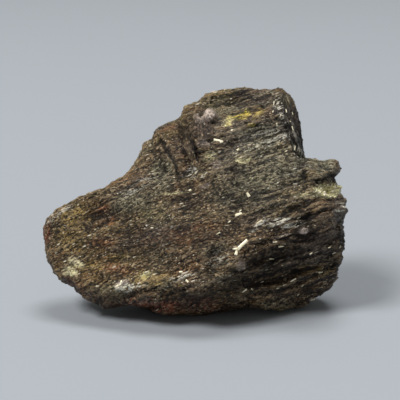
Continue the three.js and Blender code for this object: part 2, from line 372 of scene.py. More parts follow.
def plates(places, length, thickness, height, seed):
    """Pieces of broken layers, in millimetres of relief."""
    numbers, offsets = grains(places / np.array([length, 0.7 * length, thickness]), seed)
    tilts = 0.8 * (numbers[:, 1] - 0.5) * offsets[:, 0] + 0.5 * offsets[:, 2]
    thinning = ramp(-np.hypot(offsets[:, 0], offsets[:, 1]), -0.75, -0.45)
    return height * thinning * (numbers[:, 0] - 0.5 + tilts)


def facets(places, size, tilt, height, seed):
    """Facets of any direction, in millimetres of relief."""
    numbers, offsets = grains(places / size, seed)
    tilts = ((numbers - 0.5) * offsets).sum(axis=1) * 2 * tilt * size
    return tilts + (numbers[:, 0] - 0.5) * height


# the layers swing a little up and down
bent = fibres.copy()
bent[:, 2] += 0.9 * soft_noise(places / 7, 20)

relief = (1 - 0.7 * torn) * SWELL * soft_noise(places / 4, 25)
for length, thickness, height, seed, least in PLATES:
    relief += (least + (1 - least) * torn) * plates(bent, length, thickness, height, seed)
relief += facets(places, 0.9, 0.12, 0.06, 27)
pit_numbers, pit_offsets = grains(places / 2.6, 28)
pits = (pit_numbers[:, 1] > 0.85) * ramp(-np.linalg.norm(pit_offsets, axis=1), -0.36, -0.12)
relief -= PIT_DEPTH * pits
print("relief runs from", round(relief.min(), 2), "to", round(relief.max(), 2), "mm")

# %% [markdown]
# ## Cracks and ledge lines
#
# Cracks and the lines where layers end have their own places on the broad face, so each is drawn
# as a line of points in the picture, with a width and a depth in millimetres. A little noise bends
# each line, as a real crack follows the grain. A texture of cracks would be quicker, but it would
# put them anywhere.

# %% Named cracks on the broad face
CRACKS = [
    # shoulder
    ([(161, 141), (168, 153), (177, 167), (179, 181)], 1.0, 0.7),
    ([(188, 136), (193, 148), (198, 158)], 1.0, 0.7),
    ([(152, 139), (156, 156)], 0.6, 0.4),
    # upper block
    ([(212, 101), (225, 96), (240, 93), (254, 88)], 0.8, 0.9),
    ([(206, 104), (222, 103), (245, 101), (270, 96)], 0.8, 0.7),
    ([(200, 115), (224, 110), (250, 107), (272, 100)], 0.8, 0.6),
    ([(272, 101), (283, 118), (291, 136), (293, 150), (303, 158)], 0.9, 0.8),
    # right lobe and the gap below it
    ([(303, 173), (306, 179)], 1.0, 0.6),
    ([(316, 184), (325, 178), (342, 174)], 0.6, 0.6),
    ([(300, 220), (311, 216)], 1.1, 0.8),
    ([(311, 216), (336, 208)], 0.7, 0.5),
    # undercut face
    ([(250, 245), (275, 239), (302, 237), (338, 226)], 0.7, 0.5),
    ([(246, 270), (275, 262), (310, 254), (342, 246)], 0.8, 0.5),
    ([(232, 283), (262, 276), (300, 263), (332, 252)], 0.8, 0.5),
    ([(258, 292), (285, 288), (312, 276), (336, 262)], 0.7, 0.5),
    # left lobe
    ([(88, 230), (97, 227), (109, 221)], 0.8, 0.6),
]


def distance_to_line(picture, line):
    """Pixels from each picture point to a line of points."""
    nearest = np.full(len(picture), np.inf)
    for start, end in zip(np.array(line[:-1], float), np.array(line[1:], float)):
        side = end - start
        share = np.clip(((picture - start) @ side) / (side @ side), 0, 1)
        distance = np.linalg.norm(picture - start - share[:, None] * side, axis=1)
        nearest = np.minimum(nearest, distance)
    return nearest


wobble = wander(3.1, 2, 31) + wander(0.9, 2, 33)
crack_depth = np.zeros(len(points))
for line, width, depth in CRACKS:
    across = distance_to_line(picture + wobble, line) * PIXEL * MILLIMETRES
    crack_depth = np.maximum(crack_depth, depth * ramp(-across, -width, -0.15 * width))
crack_depth *= in_front
relief -= crack_depth
print("points inside a crack:", int((crack_depth > 0.2).sum()))

# %% [markdown]
# ## Pale knobs
#
# Knobs are rounded lumps of paler minerals that the break went around. The largest fills most of
# the gap under the right lobe. Each lifts the surface and calms the plates there.

# %% Knobs that stand out
# x, y, half width and half height in pixels, height in millimetres
KNOBS = [(339, 187, 8, 9, 2.4), (210, 116, 8, 7, 1.6), (304, 231, 5, 4, 0.7), (241, 265, 6, 7, 0.6)]
KNOB_CALM = 0.8

for x, y, width, height, lift in KNOBS:
    from_knob = np.linalg.norm((picture - (x, y)) / (width, height), axis=1)
    knob = ramp(-from_knob, -1.15, -0.35) * in_front
    relief = relief * (1 - KNOB_CALM * knob) + lift * knob
print("knobs:", len(KNOBS), "and the highest relief is now", round(relief.max(), 2), "mm")

# %% [markdown]
# ## Moving the net
#
# Each point moves along its normal by the relief there. Near the ground the relief fades, so the
# small flat spot stays flat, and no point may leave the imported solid's box. A displacement in the
# material would look alike, but it would not be there in the mesh.

# %% Move the points
above_ground = ramp(points[:, 2] * MILLIMETRES, 0.1, 1.6)
moved = points + normals_of(fine_mesh) * (relief * above_ground / MILLIMETRES)[:, None]
moved = np.clip(moved, np.array(cad_box[0]), np.array(cad_box[1]))
write_points(fine_mesh, moved)
fine_mesh.polygons.foreach_set("use_smooth", np.ones(len(fine_mesh.polygons), dtype=bool))
print("triangles on the surface:", 2 * len(fine_mesh.polygons))
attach(skin, "root")
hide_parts("nuummite")

# %% [markdown]
# ## What is hollow
#
# Hollows get painted shade, and edges are worn pale. So each point keeps a number that says how far it
# stands out of its surroundings, small ones and large ones together. The ambient occlusion node
# could shade hollows too, but it slows each render.

# %% Note how far each point stands out
# rounds of averaging, and how much that size of hollow counts
HOLLOWS = [(4, 0.8), (22, 0.5), (67, 0.3)]


def note(name, values):
    """Keeps one number for each point of the stone, for its finish to read."""
    attribute = fine_mesh.attributes.new(name, "FLOAT", "POINT")
    attribute.data.foreach_set("value", values.astype(np.float32))


standing_out = np.zeros(len(points))
for rounds, share in HOLLOWS:
    height = ((moved - spread_places(moved, rounds)) * normals_of(fine_mesh)).sum(axis=1)
    standing_out += share * height / height.std()
note("standing_out", np.clip(0.5 + 0.2 * standing_out, 0, 1))
note("crack", np.clip(crack_depth + 0.5 * pits, 0, 1))
note("torn", torn)
note("upright", upright[:, 0].astype(float))
print("points in a hollow:", int((standing_out < -1).sum()))

# %% [markdown]
# ## Patches of other minerals, and of painted light and shade
#
# The rock isn't one colour. Weathering leaves rust brown and olive stains, some beds are green,
# purple or dark, and pale, steel grey, straw and gold crystals lie in patches. Some patches are
# painted light and shade as well: the dark ones paint shade on faces turned from the light, under
# ledges and in cracks, the rust ones a warm reflection at the bottom edge and the left tip, the
# steel grey ones sheen along the ridge and glints on the dark facet, and others mark where painted
# glints gather. Large soft noise spreads them over the whole stone. Those seen on the broad face
# are ovals with their own places.

# %% Stains, beds and painted light and shade, as ovals in the picture
# name: (x, y, half length, half width, rise in degrees, strength)
STAINS = {
    "green": [
        (250, 148, 42, 22, 12, 0.9), (258, 132, 34, 11, 8, 1.0), (240, 89, 18, 3.5, 6, 1.0),
        (256, 96, 18, 2.5, 12, 1.0), (222, 100, 14, 2, 10, 0.9), (268, 92, 9, 4, -5, 0.9),
        (240, 192, 38, 16, 14, 0.7), (272, 172, 70, 45, 15, 0.85), (163, 173, 24, 13, 72, 0.9),
        (135, 200, 26, 14, 15, 0.8), (165, 283, 18, 6, 12, 0.7), (215, 250, 14, 8, 20, 0.5),
        (275, 180, 14, 10, 0, 0.4), (320, 167, 20, 10, 5, 1.3), (275, 303, 18, 6, 5, 0.5),
    ],
    "plum": [
        (245, 104, 26, 5, 8, 0.8), (203, 124, 22, 14, 100, 1.0), (182, 148, 12, 16, 110, 0.7),
        (185, 150, 10, 8, 0, 0.6), (160, 235, 50, 14, 10, 0.3), (232, 175, 8, 8, 0, 0.5),
        (255, 258, 20, 8, 15, 0.4), (190, 172, 9, 10, 80, 0.6), (150, 306, 40, 8, -5, 0.5),
    ],
    # the ovals at the left tip (46, 236) and along the bottom edge (140, 305) and (205, 305) are
    # painted warm reflection; the others are rust stains
    "rust_and_warm_reflection": [
        (46, 236, 14, 5, 80, 0.9), (101, 210, 10, 4, 20, 0.5), (110, 221, 10, 5, 20, 0.35),
        (115, 268, 12, 7, 0, 0.6), (100, 243, 14, 6, 10, 0.4), (170, 128, 9, 3, 15, 0.7),
        (140, 305, 46, 8, -5, 1.1), (205, 305, 26, 8, 3, 0.9), (230, 124, 10, 4, 20, 0.4),
        (80, 290, 20, 6, -35, 0.6), (180, 235, 40, 12, 10, 0.25),
    ],
    "olive": [
        (75, 213, 20, 12, 30, 0.9), (70, 236, 18, 18, 10, 0.75), (150, 280, 26, 8, 8, 0.7),
        (92, 266, 12, 5, -10, 0.7), (143, 276, 9, 6, 10, 0.9), (243, 160, 13, 6, 10, 0.7),
        (262, 110, 8, 4, 15, 0.7), (310, 172, 6, 8, 60, 0.6), (324, 271, 9, 5, 10, 0.9),
        (290, 195, 14, 5, 10, 0.5), (178, 118, 8, 3, 20, 0.8), (165, 135, 12, 5, 30, 0.6),
        (122, 225, 20, 6, 15, 0.4), (283, 145, 8, 4, 5, 0.5), (120, 260, 14, 8, 10, 0.4),
        (225, 93, 24, 4, 15, 0.4),
    ],
    # painted shade on the undercut face, underside, right edge, facet turned from the light, under
    # ledges, in cracks and pits; dark beds too
    "dark_beds_and_shade": [
        (298, 252, 48, 17, 18, 0.85), (258, 278, 40, 12, 15, 0.6), (345, 232, 32, 6, 88, 1.0),
        (341, 265, 22, 5, 65, 0.8), (325, 293, 24, 5, 35, 0.7), (292, 126, 40, 13, 109, 1.1),
        (115, 304, 28, 6, -8, 0.6), (70, 291, 16, 5, -40, 0.5), (308, 218.5, 9, 2.5, 8, 1.6),
        (305, 176, 5, 4, 60, 1.0), (330, 178, 13, 1.8, 15, 0.9), (232, 308, 26, 8, 0, 0.4),
        (240, 105, 34, 3, 9, 0.5), (192, 146, 10, 2.5, 100, 0.7), (184, 146, 18, 10, 110, 0.3),
        (230, 200, 40, 16, 15, 0.2), (171, 156, 13, 2, -57, 0.8), (240, 92, 16, 1.5, 18, 0.8),
        (190, 122, 8, 9, 0, 0.5), (160, 128, 8, 2, 25, 0.6), (165, 238, 54, 16, 12, 0.5),
        (245, 208, 10, 4, 20, 0.4), (147, 150, 12, 2.5, 70, 0.5), (238, 97, 28, 2.2, 10, 0.9),
        (178, 130, 20, 12, 30, 0.5), (255, 105, 16, 3, 8, 0.9), (219, 105, 14, 3, 8, 0.9),
        (288, 114, 18, 5, 108, 1.1), (275, 113, 12, 3, 105, 1.1), (283, 103, 8, 3, 100, 1.1),
        (281, 122, 8, 2.5, 120, 1.0), (236, 280, 22, 12, 20, 0.7), (340, 211, 12, 5, 80, 0.8),
        (195, 147, 12, 2.5, 120, 0.9), (168, 152, 20, 2, 125, 0.8),
        (160, 150, 14, 1.5, 105, 0.5), (240, 184, 7, 3, 20, 0.7), (200, 298, 48, 8, 4, 0.5),
        (285, 262, 55, 16, 15, 0.5),
    ],
    # steel grey needles, with painted sheen along the ridge and painted glints on the dark facet and
    # at the right edge
    "steel_grey_and_sheen": [
        (286, 222.5, 17, 4.5, 10, 2.2), (260, 225, 11, 3, 35, 0.9), (191, 173, 8, 5, 80, 0.8),
        (130, 287, 16, 5, 8, 1.1), (182, 275, 13, 5, 20, 0.7), (268, 136, 26, 10, 8, 0.35),
        (279, 107, 14, 5, 105, 0.8), (341, 207, 8, 4, 30, 0.9), (290, 128, 22, 5, 109, 0.25),
        (299, 152, 8, 4, 103, 0.8), (339, 187, 4, 7, 80, 1.6), (215, 262, 20, 3, 20, 0.5),
        (140, 185, 20, 5, 35, 0.4), (285, 138, 7, 5, 0, 0.7), (58, 215, 16, 3, 40, 0.5),
    ],
    "pale": [
        (76, 262, 9, 3, -25, 0.4), (71, 273, 8, 5, -25, 0.3), (122, 284, 7, 4, 10, 1.2),
        (210, 116, 8, 6.5, 0, 1.4), (304, 231, 5, 4, 0, 2.0), (241, 265, 5, 5, 80, 0.4),
        (313, 300, 5, 2, 10, 0.7), (283, 236, 8, 1.5, 15, 0.6), (205, 186, 6, 2, 30, 0.5),
        (217, 164, 5, 5, 0, 0.4), (200, 118, 5, 6, 70, 0.5), (205, 143, 6, 6, 0, 0.4),
    ],
    "straw": [
        (328, 190.5, 15, 6.5, 12, 3.0), (337, 188, 6, 5, 80, 0.9), (228, 120, 7, 3.5, 45, 0.7),
        (242, 160, 9, 4, 10, 0.5), (209, 156, 7, 4, 15, 0.35), (303, 196, 9, 3, 15, 0.3),
        (146, 276, 7, 4, 20, 0.5), (76, 263, 9, 3.5, -25, 0.6), (71, 273, 8, 5, -25, 0.6),
        (172, 193.5, 18, 1, 4, 0.5),
    ],
    "gold": [
        (241, 115, 10, 2.4, 12, 1.05), (229, 119, 5, 3, 60, 0.6), (251, 125, 5, 1.5, 5, 1.0),
        (259, 114, 8, 4, 25, 0.35), (328, 191, 9, 4, 20, 0.5), (145, 277, 4, 2, 20, 0.5),
        (181, 286, 3, 1.5, 0, 0.5),
    ],
    # where painted glints gather
    "glint_patches": [
        (280, 112, 14, 6, 100, 0.25), (297, 130, 26, 6, 103, 0.1), (288, 222, 18, 6, 10, 0.9),
        (122, 287, 16, 5, 5, 0.9), (183, 275, 11, 5, 15, 0.8), (327, 190, 13, 6, 10, 1.0),
        (255, 148, 34, 16, 12, 0.35), (298, 153, 6, 5, 0, 1.0), (313, 300, 6, 3, 0, 0.8),
        (72, 268, 13, 9, -20, 0.3), (344, 206, 8, 3, 80, 0.6), (205, 150, 8, 8, 0, 0.4),
    ],
}

# %% Note the stains on the points
# how much of each is seen away from the broad face
ELSEWHERE = {
    "green": 0.5, "plum": 0.5, "rust_and_warm_reflection": 0.5, "olive": 0.4, "dark_beds_and_shade": 0.5,
    "steel_grey_and_sheen": 0.4, "pale": 0.3, "straw": 0.25, "gold": 0.12, "glint_patches": 0.5,
}
PATCH_SIZE = np.array([13, 13, 6])

for seed, (name, patches) in enumerate(STAINS.items()):
    everywhere = ramp(soft_noise(places / PATCH_SIZE, 50 + seed), 0.15, 0.75)
    stain = np.maximum(ovals(patches), ELSEWHERE[name] * everywhere * (1 - 0.7 * in_front))
    note(name, stain)
    print(name, "covers", round(100 * (stain > 0.3).mean()), "percent of the stone")

# %% [markdown]
# ## A few words for building finishes
#
# A finish is a tree of nodes. These helpers add one node and join it, set the colours from the
# numbers that a picture program shows, and make a node group with named sockets.


# %% Helpers for single nodes
def paint(red, green, blue):
    """A colour as a picture program gives it, 0 to 255, in the linear numbers that Blender uses."""
    linear = []
    for share in (red / 255, green / 255, blue / 255):
        linear.append(share / 12.92 if share <= 0.04045 else ((share + 0.055) / 1.055) ** 2.4)
    return (*linear, 1)


def fill(tree, node, inputs):
    """Gives each named input of a node a plain value or another node's output."""
    for name, value in inputs.items():
        if isinstance(value, bpy.types.NodeSocket):
            tree.links.new(value, node.inputs[name])
        else:
            node.inputs[name].default_value = value


def add(tree, kind, inputs=None, **settings):
    """Adds a shader node with its settings and its inputs."""
    made = tree.nodes.new("ShaderNode" + kind)
    for name, value in settings.items():
        setattr(made, name, value)
    fill(tree, made, inputs or {})
    return made


def reckon(tree, operation, first, second):
    """A Math node's result."""
    return add(tree, "Math", {0: first, 1: second}, operation=operation).outputs[0]


def times(tree, first, second):
    """One value times another."""
    return reckon(tree, "MULTIPLY", first, second)


def vector(tree, operation, inputs):
    """A Vector Math node's result."""
    return add(tree, "VectorMath", inputs, operation=operation).outputs[0]


def between(tree, value, low, high, new_low=0.0, new_high=1.0):
    """A value that runs smoothly from new_low at low to new_high at high."""
    inputs = {"Value": value, "From Min": low, "From Max": high, "To Min": new_low, "To Max": new_high}
    return add(tree, "MapRange", inputs, interpolation_type="SMOOTHSTEP").outputs[0]


def tint(tree, share, below, above, blend="MIX"):
    """One colour over another by a share from 0 to 1."""
    inputs = {0: share, 6: below, 7: above}
    return add(tree, "Mix", inputs, data_type="RGBA", blend_type=blend).outputs[2]


def grey(tree, value):
    """The grey that is as light as a value."""
    inputs = {"Red": value, "Green": value, "Blue": value}
    return add(tree, "CombineColor", inputs).outputs[0]


def noted(tree, name):
    """What the stone's points keep under a name."""
    return add(tree, "Attribute", attribute_name=name).outputs["Fac"]


print("a middle grey in linear numbers:", round(paint(128, 128, 128)[0], 3))


# %% Helpers for groups and materials
def new_group(name, numbers_in, sockets_out):
    """An empty node group: number inputs with usual values, and outputs with their kinds."""
    group = bpy.data.node_groups.new(name, "ShaderNodeTree")
    for label, usual in numbers_in.items():
        socket = group.interface.new_socket(label, in_out="INPUT", socket_type="NodeSocketFloat")
        socket.default_value = usual
    for label, kind in sockets_out.items():
        group.interface.new_socket(label, in_out="OUTPUT", socket_type="NodeSocket" + kind)
    return group, group.nodes.new("NodeGroupInput").outputs, group.nodes.new("NodeGroupOutput")


def place_group(tree, group, inputs=None):
    """Puts a group into a material with its own values, and gives its outputs."""
    return add(tree, "Group", inputs, node_tree=group).outputs


def count_nodes(name, tree):
    """Prints how large a group or a finish is by now."""
    print(name, "has", len(tree.nodes), "nodes")


def new_material(name):
    """A material with a Principled BSDF in it."""
    made = bpy.data.materials.new(name)
    made.use_nodes = True
    return made, made.node_tree, made.node_tree.nodes["Principled BSDF"]


# %% [markdown]
# ## Group: places along the layers
#
# The finishes need the same directions as the relief, in millimetres. Mapping nodes turn the
# stone's own coordinates that way, and once more by a quarter turn where the needles stand
# upright. They are tied to the stone, so nothing slides when it is seen from another side.

# %% Group for places along the layers
layer_group, _, group_out = new_group("along_the_layers", {}, {"Place": "Vector"})
place = add(layer_group, "TexCoord").outputs["Object"]
steps = (
    {"Location": tuple(-MILLIMETRES * part for part in MIDDLE), "Scale": (MILLIMETRES,) * 3},
    {"Rotation": (LEAN, 0, 0)},
    {"Rotation": (0, RISE, 0)},
    {"Rotation": (math.atan(DIP), 0, 0)},
)
for step in steps:
    place = add(layer_group, "Mapping", {"Vector": place, **step}).outputs[0]
quarter_turn = {"Vector": place, "Rotation": (0, math.pi / 2, 0)}
turned = add(layer_group, "Mapping", quarter_turn).outputs[0]
choices = {0: noted(layer_group, "upright"), 4: place, 5: turned}
chosen_place = add(layer_group, "Mix", choices, data_type="VECTOR").outputs[1]
layer_group.links.new(chosen_place, group_out.inputs["Place"])
count_nodes("along_the_layers", layer_group)

# %% [markdown]
# ## Group: streaks
#
# Needles that lie side by side look like fine streaks. This is noise that is stretched along the
# layers: the stone uses it at several sizes, from broad beds to fine needles, and the blades use
# it too.

# %% Group for streaks along the layers
streak_group, group_in, group_out = new_group(
    "streaks",
    {"Thickness": 0.5, "Length": 5.0, "Low": 0.3, "High": 0.7},
    {"Streak": "Float"},
)


def place_in_cells(tree, length, thickness):
    """The place along the layers, counted in lengths and in thicknesses."""
    place = place_group(tree, layer_group)["Place"]
    sizes = add(tree, "CombineXYZ", {"X": length, "Y": length, "Z": thickness})
    return vector(tree, "DIVIDE", {0: place, 1: sizes.outputs[0]})


inputs = {"Scale": 1.0, "Detail": 4.0, "Roughness": 0.62, "Distortion": 0.3}
inputs["Vector"] = place_in_cells(streak_group, group_in["Length"], group_in["Thickness"])
wavy = add(streak_group, "TexNoise", inputs).outputs[0]
streak = between(streak_group, wavy, group_in["Low"], group_in["High"])
streak_group.links.new(streak, group_out.inputs["Streak"])


def streaks(tree, thick, long, low, high):
    """Streaks so many millimetres thick and long, from the noise between low and high."""
    inputs = {"Thickness": thick, "Length": long, "Low": low, "High": high}
    return place_group(tree, streak_group, inputs)["Streak"]


count_nodes("streaks", streak_group)

# %% [markdown]
# ## Group: mineral grains
#
# Each grain of the rock is a small crystal with a shade and a tilt of its own, which is why the
# rock glitters when it is turned. A Voronoi texture splits space into such grains. Its random
# colour gives each its shade, leans its normal a little, and picks out the few that get a painted
# glint.

# %% Group for mineral grains
grain_group, group_in, group_out = new_group(
    "mineral_grains",
    {"Size": 0.6, "Stretch": 2.0, "Tilt": 0.5, "Glint share": 0.05},
    {"Shade": "Float", "Kind": "Float", "Bright": "Float", "Gap": "Float", "Normal": "Vector"},
)
length = times(grain_group, group_in["Size"], group_in["Stretch"])
place = place_in_cells(grain_group, length, group_in["Size"])
cells = add(grain_group, "TexVoronoi", {"Vector": place, "Scale": 1.0}).outputs
parts = add(grain_group, "SeparateColor", {0: cells["Color"]}).outputs

# the grains that are picked for a painted glint
limit = reckon(grain_group, "SUBTRACT", 1.0, group_in["Glint share"])
glint = reckon(grain_group, "GREATER_THAN", parts[1], limit)
glint = times(grain_group, glint, between(grain_group, cells["Distance"], 0.55, 0.3))
gap = between(grain_group, cells["Distance"], 0.5, 0.8)

centred = vector(grain_group, "SUBTRACT", {0: cells["Color"], 1: (0.5, 0.5, 0.5)})
lean = vector(grain_group, "SCALE", {0: centred, "Scale": group_in["Tilt"]})
normal = add(grain_group, "NewGeometry").outputs["Normal"]
normal = vector(grain_group, "ADD", {0: normal, 1: lean})
normal = vector(grain_group, "NORMALIZE", {0: normal})
results = {"Shade": parts[0], "Kind": parts[2], "Bright": glint, "Gap": gap, "Normal": normal}
for label, result in results.items():
    grain_group.links.new(result, group_out.inputs[label])


def mineral_grains(tree, size, stretch, tilt, glint):
    """Grains of a size in millimetres, so many times as long, each with a tilt of its own."""
    inputs = {"Size": size, "Stretch": stretch, "Tilt": tilt, "Glint share": glint}
    return place_group(tree, grain_group, inputs)


count_nodes("mineral_grains", grain_group)

# %% [markdown]
# ## Finish of the broken rock, first its beds
#
# The colour is built up in layers. First come broad brown beds, then paler ledges, mostly where the
# rock is torn, then fine needles, and grey grains here and there. A Wave texture would give beds
# as well, but too evenly, so each is made of streaks.

# %% Beds, ledges and needles
rock, tree, surface = new_material("broken_nuummite")
torn_here = between(tree, noted(tree, "torn"), 0.1, 0.8, 0.35, 1.0)
glint_share = between(tree, noted(tree, "glint_patches"), 0.0, 1.0, 0.015, 0.3)
coarse = mineral_grains(tree, size=0.42, stretch=3.5, tilt=0.35, glint=glint_share)
fine = mineral_grains(tree, size=0.34, stretch=1.6, tilt=0.8, glint=glint_share)

beds = streaks(tree, thick=2.2, long=11.0, low=0.32, high=0.66)
colour = tint(tree, beds, paint(43, 24, 13), paint(96, 67, 36))
ledges = times(tree, streaks(tree, thick=0.8, long=7.0, low=0.42, high=0.66), torn_here)
colour = tint(tree, ledges, colour, paint(108, 85, 53))
needles = streaks(tree, thick=0.3, long=2.4, low=0.3, high=0.7)
colour = tint(tree, times(tree, needles, 0.5), colour, paint(112, 88, 55))
grey_grains = between(tree, coarse["Kind"], 0.3, 1.0, 0.0, 0.4)
colour = tint(tree, grey_grains, colour, paint(85, 74, 52))
count_nodes("broken_nuummite", tree)

# %% [markdown]
# ## Stains over the beds
#
# The stains that the points keep go over the beds. Each is broken up by the grains, because a stain
# takes on some minerals and not on others. A smooth edge would look painted on.

# %% Green, plum, rust and olive stains, the rust with painted warm reflection in places
STAIN_COLOURS = {
    "green": paint(108, 108, 90),
    "plum": paint(62, 43, 41),
    # rust, and painted warm reflection at the bottom edge and the left tip
    "rust_and_warm_reflection": paint(118, 56, 32),
    "olive": paint(128, 107, 58),
}


def stain_over(colour, name, stain_colour, broken_by, least, shading=None):
    """A colour with one of the noted stains over it, broken up by a value and shaded by another."""
    kept = between(tree, broken_by, 0.0, 0.7, least, 1.0)
    share = reckon(tree, "MINIMUM", times(tree, noted(tree, name), kept), 0.9)
    if shading:
        stain_colour = tint(tree, 1.0, stain_colour, shading, "MULTIPLY")
    return tint(tree, share, colour, stain_colour)


for name, stain_colour in STAIN_COLOURS.items():
    colour = stain_over(colour, name, stain_colour, fine["Shade"], 0.5)
print("stains under the grain:", list(STAIN_COLOURS))

# %% [markdown]
# ## Each grain's own shade
#
# A broken rock is a patchwork of small mirrors, so grains beside each other differ a lot. Three
# shades are multiplied: that of the coarse grains, that of the fine ones, and a slow change of tone
# from bed to bed. The palest fine grains are specks, and the seams between coarse grains are dark.

# %% Shade of the grains
shade = times(
    tree,
    between(tree, coarse["Shade"], 0.0, 1.0, 0.72, 1.28),
    between(tree, fine["Shade"], 0.0, 1.0, 0.12, 1.75),
)
tone = streaks(tree, thick=6.0, long=13.0, low=0.35, high=0.65)
shade = times(tree, shade, between(tree, tone, 0.0, 1.0, 0.52, 1.2))
colour = tint(tree, 1.0, colour, grey(tree, shade), "MULTIPLY")
specks = times(tree, reckon(tree, "POWER", fine["Shade"], 8.0), 0.75)
colour = tint(tree, specks, colour, paint(184, 166, 136))
colour = tint(tree, times(tree, coarse["Gap"], 0.35), colour, paint(16, 12, 9))
count_nodes("broken_nuummite", tree)

# %% [markdown]
# ## Worn edges, painted shade and fissures
#
# Edges that stand out are rubbed pale. Hollows, cracks and pits get painted shade, nearly black,
# and the dark patches are dark beds together with painted shade on faces turned from the light.
# Thin fissures run along the layers, mostly where the rock is torn. The light alone would leave
# the hollows, cracks and shaded faces too grey.

# %% Edges, painted shade in hollows, cracks and dark patches, and fissures
standing = noted(tree, "standing_out")
worn = times(tree, between(tree, standing, 0.6, 0.95), 0.4)
colour = tint(tree, worn, colour, paint(146, 127, 100))
# painted shade in the hollows, nearly black
painted_hollow_shade = times(tree, between(tree, standing, 0.52, 0.15), 0.8)
colour = tint(tree, painted_hollow_shade, colour, paint(20, 15, 11))
# painted shade inside the cracks and pits
colour = tint(tree, times(tree, noted(tree, "crack"), 0.85), colour, paint(14, 10, 8))
# painted shade on faces turned from the light, under ledges and in cracks, and dark beds elsewhere
dark_beds_and_shade = times(tree, noted(tree, "dark_beds_and_shade"), 0.88)
colour = tint(tree, dark_beds_and_shade, colour, paint(22, 14, 9))
fissures = times(tree, streaks(tree, thick=0.7, long=5.5, low=0.5, high=0.62), torn_here)
colour = tint(tree, fissures, colour, paint(16, 11, 8))
count_nodes("broken_nuummite", tree)

# %% [markdown]
# ## Pale, steel grey, straw and gold minerals, and painted sheen
#
# These are crystals of their own, so they lie over the dark of the rock. The steel grey is also
# painted sheen along the ridge and painted glints on the dark facet. They are broken into bundles
# of needles and shaded by the fine grains, or else they would look like flat paint.

# %% Pale minerals
PALE_MINERALS = [
    # steel grey, and painted sheen and glints
    ("steel_grey_and_sheen", paint(214, 210, 196), 0.0),
    ("straw", paint(255, 248, 194), 0.4),
    ("gold", paint(216, 194, 88), 0.3),
]

lighter = grey(tree, between(tree, fine["Shade"], 0.1, 0.9, 0.42, 1.3))
bundles = streaks(tree, thick=0.75, long=6.0, low=0.49, high=0.56)
bundled = times(tree, bundles, between(tree, fine["Shade"], 0.0, 0.6, 0.3, 1.0))
colour = stain_over(colour, "pale", paint(190, 174, 164), coarse["Shade"], 0.6, lighter)
for name, mineral_colour, least in PALE_MINERALS:
    colour = stain_over(colour, name, mineral_colour, bundled, least, lighter)
print("pale minerals over the dark:", ["pale"] + [name for name, _, _ in PALE_MINERALS])

# %% [markdown]
# ## Painted glints, gloss and bump
#
# A few grains lie so that they flash, and that flash is painted into their colour as a pale
# glint. They are smoother than the rest. Hollows have none, and the dark patches have few outside
# the patches where painted glints gather. The bump is only for needles and grains finer than the
# net.

# %% Painted glints, roughness and bump
# painted glints on the grains that lie so that they flash
glint = reckon(tree, "MAXIMUM", coarse["Bright"], fine["Bright"])
glint = times(tree, glint, between(tree, standing, 0.35, 0.6))
not_dark = reckon(tree, "SUBTRACT", 1.0, dark_beds_and_shade)
glint = times(tree, glint, reckon(tree, "MAXIMUM", noted(tree, "glint_patches"), not_dark))
colour = tint(tree, times(tree, glint, 0.8), colour, paint(222, 216, 196))
rough = between(tree, coarse["Shade"], 0.0, 1.0, 0.32, 0.62)
rough = reckon(tree, "SUBTRACT", rough, times(tree, glint, 0.2))
height = reckon(tree, "ADD", needles, times(tree, fine["Shade"], 0.6))
inputs = {"Strength": 0.9, "Distance": 0.0003, "Height": height, "Normal": coarse["Normal"]}
bump = add(tree, "Bump", inputs).outputs[0]
fill(tree, surface, {"Base Color": colour, "Roughness": rough, "Normal": bump})
surface.inputs["Specular IOR Level"].default_value = 0.28

skin.data.materials.clear()
skin.data.materials.append(rock)
count_nodes("broken_nuummite", tree)

# %% [markdown]
# ## Finding the surface under a point of the picture
#
# The crystals that stick out of the rock have to sit on it, seen from any side. A ray from the
# camera through a picture point finds the surface and its normal. Each crystal is a small prism
# with a roof and slanted ends, and its foot is sunk into the surface.

# %% Rays onto the stone, and the shape of a crystal
surface_tree = BVHTree.FromPolygons(
    [tuple(point) for point in moved], [tuple(square.vertices) for square in fine_mesh.polygons]
)


def on_stone(x, y):
    """The surface point that is seen at a picture point, and the normal there."""
    ray = (on_plane(x, y) - camera.location).normalized()
    place, normal, _, _ = surface_tree.ray_cast(camera.location, ray)
    return place, normal


# two ends, two sides, two halves of the roof and the bottom
PRISM_FACES = [
    (0, 1, 3, 4, 2), (6, 5, 7, 9, 8), (0, 2, 7, 5), (1, 6, 8, 3), (2, 4, 9, 7), (4, 3, 8, 9),
    (1, 0, 5, 6),
]
PRISM_CORNERS = 10


def prism(place, long_way, normal, length, width, height):
    """The corners of a small crystal with a roof along its length and slanted ends."""
    long_way = (long_way - normal * long_way.dot(normal)).normalized()
    side = normal.cross(long_way)
    corners = []
    # the eaves and the ridge are shorter than the foot, so both ends slant
    for end in (-0.5, 0.5):
        foot = place + long_way * length * end
        eaves = place + long_way * length * end * 0.9
        ridge = place + long_way * length * end * 0.78
        corners += [foot + side * width * half - normal * height for half in (-0.5, 0.5)]
        corners += [eaves + side * width * half for half in (-0.45, 0.45)]
        corners.append(ridge + normal * height * 0.5)
    return corners


def join_prisms(name, prisms):
    """One mesh of many small crystals."""
    corners, faces = [], []
    for prism_corners in prisms:
        faces += [tuple(len(corners) + corner for corner in face) for face in PRISM_FACES]
        corners += prism_corners
    mesh = bpy.data.meshes.new(name)
    mesh.from_pydata(corners, [], faces)
    made = new_object(name, mesh)
    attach(made, "root")
    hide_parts("nuummite")
    print(name, "has", len(prisms), "crystals and", sum(len(face) - 2 for face in faces), "triangles")
    return made


# %% [markdown]
# ## The pale crystals
#
# One cream-coloured crystal, the shape of a short bar, lies across the broad face, and smaller ones
# are scattered around it. Each has a place, a length and a rise as they are seen. They are real
# shapes, because they stand out of the surface and catch the light.

